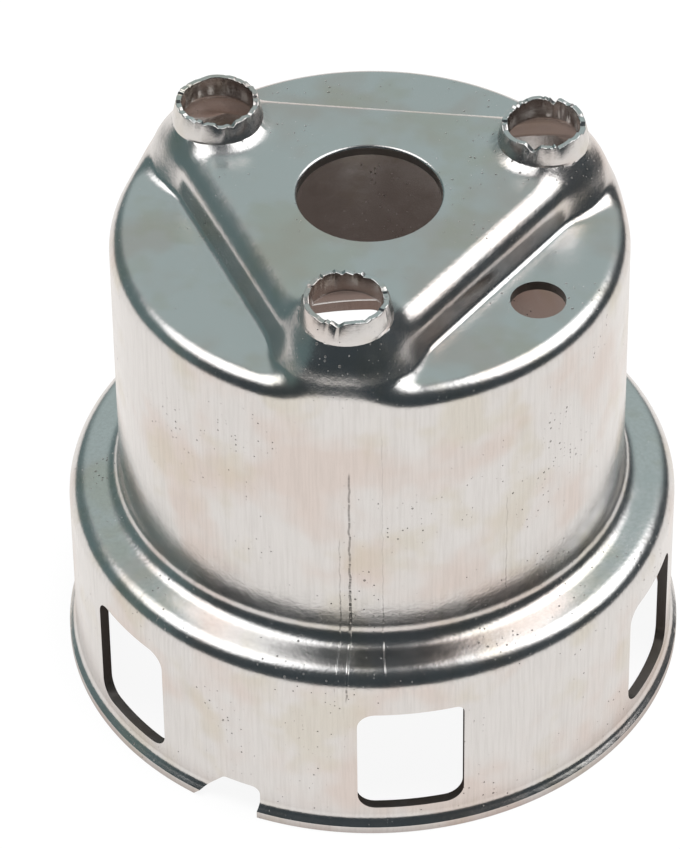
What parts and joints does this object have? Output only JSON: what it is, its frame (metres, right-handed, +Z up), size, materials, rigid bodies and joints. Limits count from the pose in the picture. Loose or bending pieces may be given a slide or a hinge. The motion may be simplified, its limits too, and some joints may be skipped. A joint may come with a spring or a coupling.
{
  "type": "starter cup",
  "caption": "Deep-drawn sheet-steel starter cup: stepped round shell with a raised corner platform, flanged bolt holes, a centre hole, and windows punched through its flared skirt.",
  "frame": {"origin": "on the cup's axis in the plane of the open rim", "axes": "+Z up the axis to the closed end with the bolt holes; -Y towards the front flanged hole"},
  "size_m": [0.0803, 0.0802, 0.0763],
  "materials": {
    "zinc_plate": "bright zinc plate over drawn mild-steel sheet, satin with fine draw lines"
  },
  "bodies": {
    "root": {"starter_cup": "zinc_plate"}
  },
  "joints": []
}
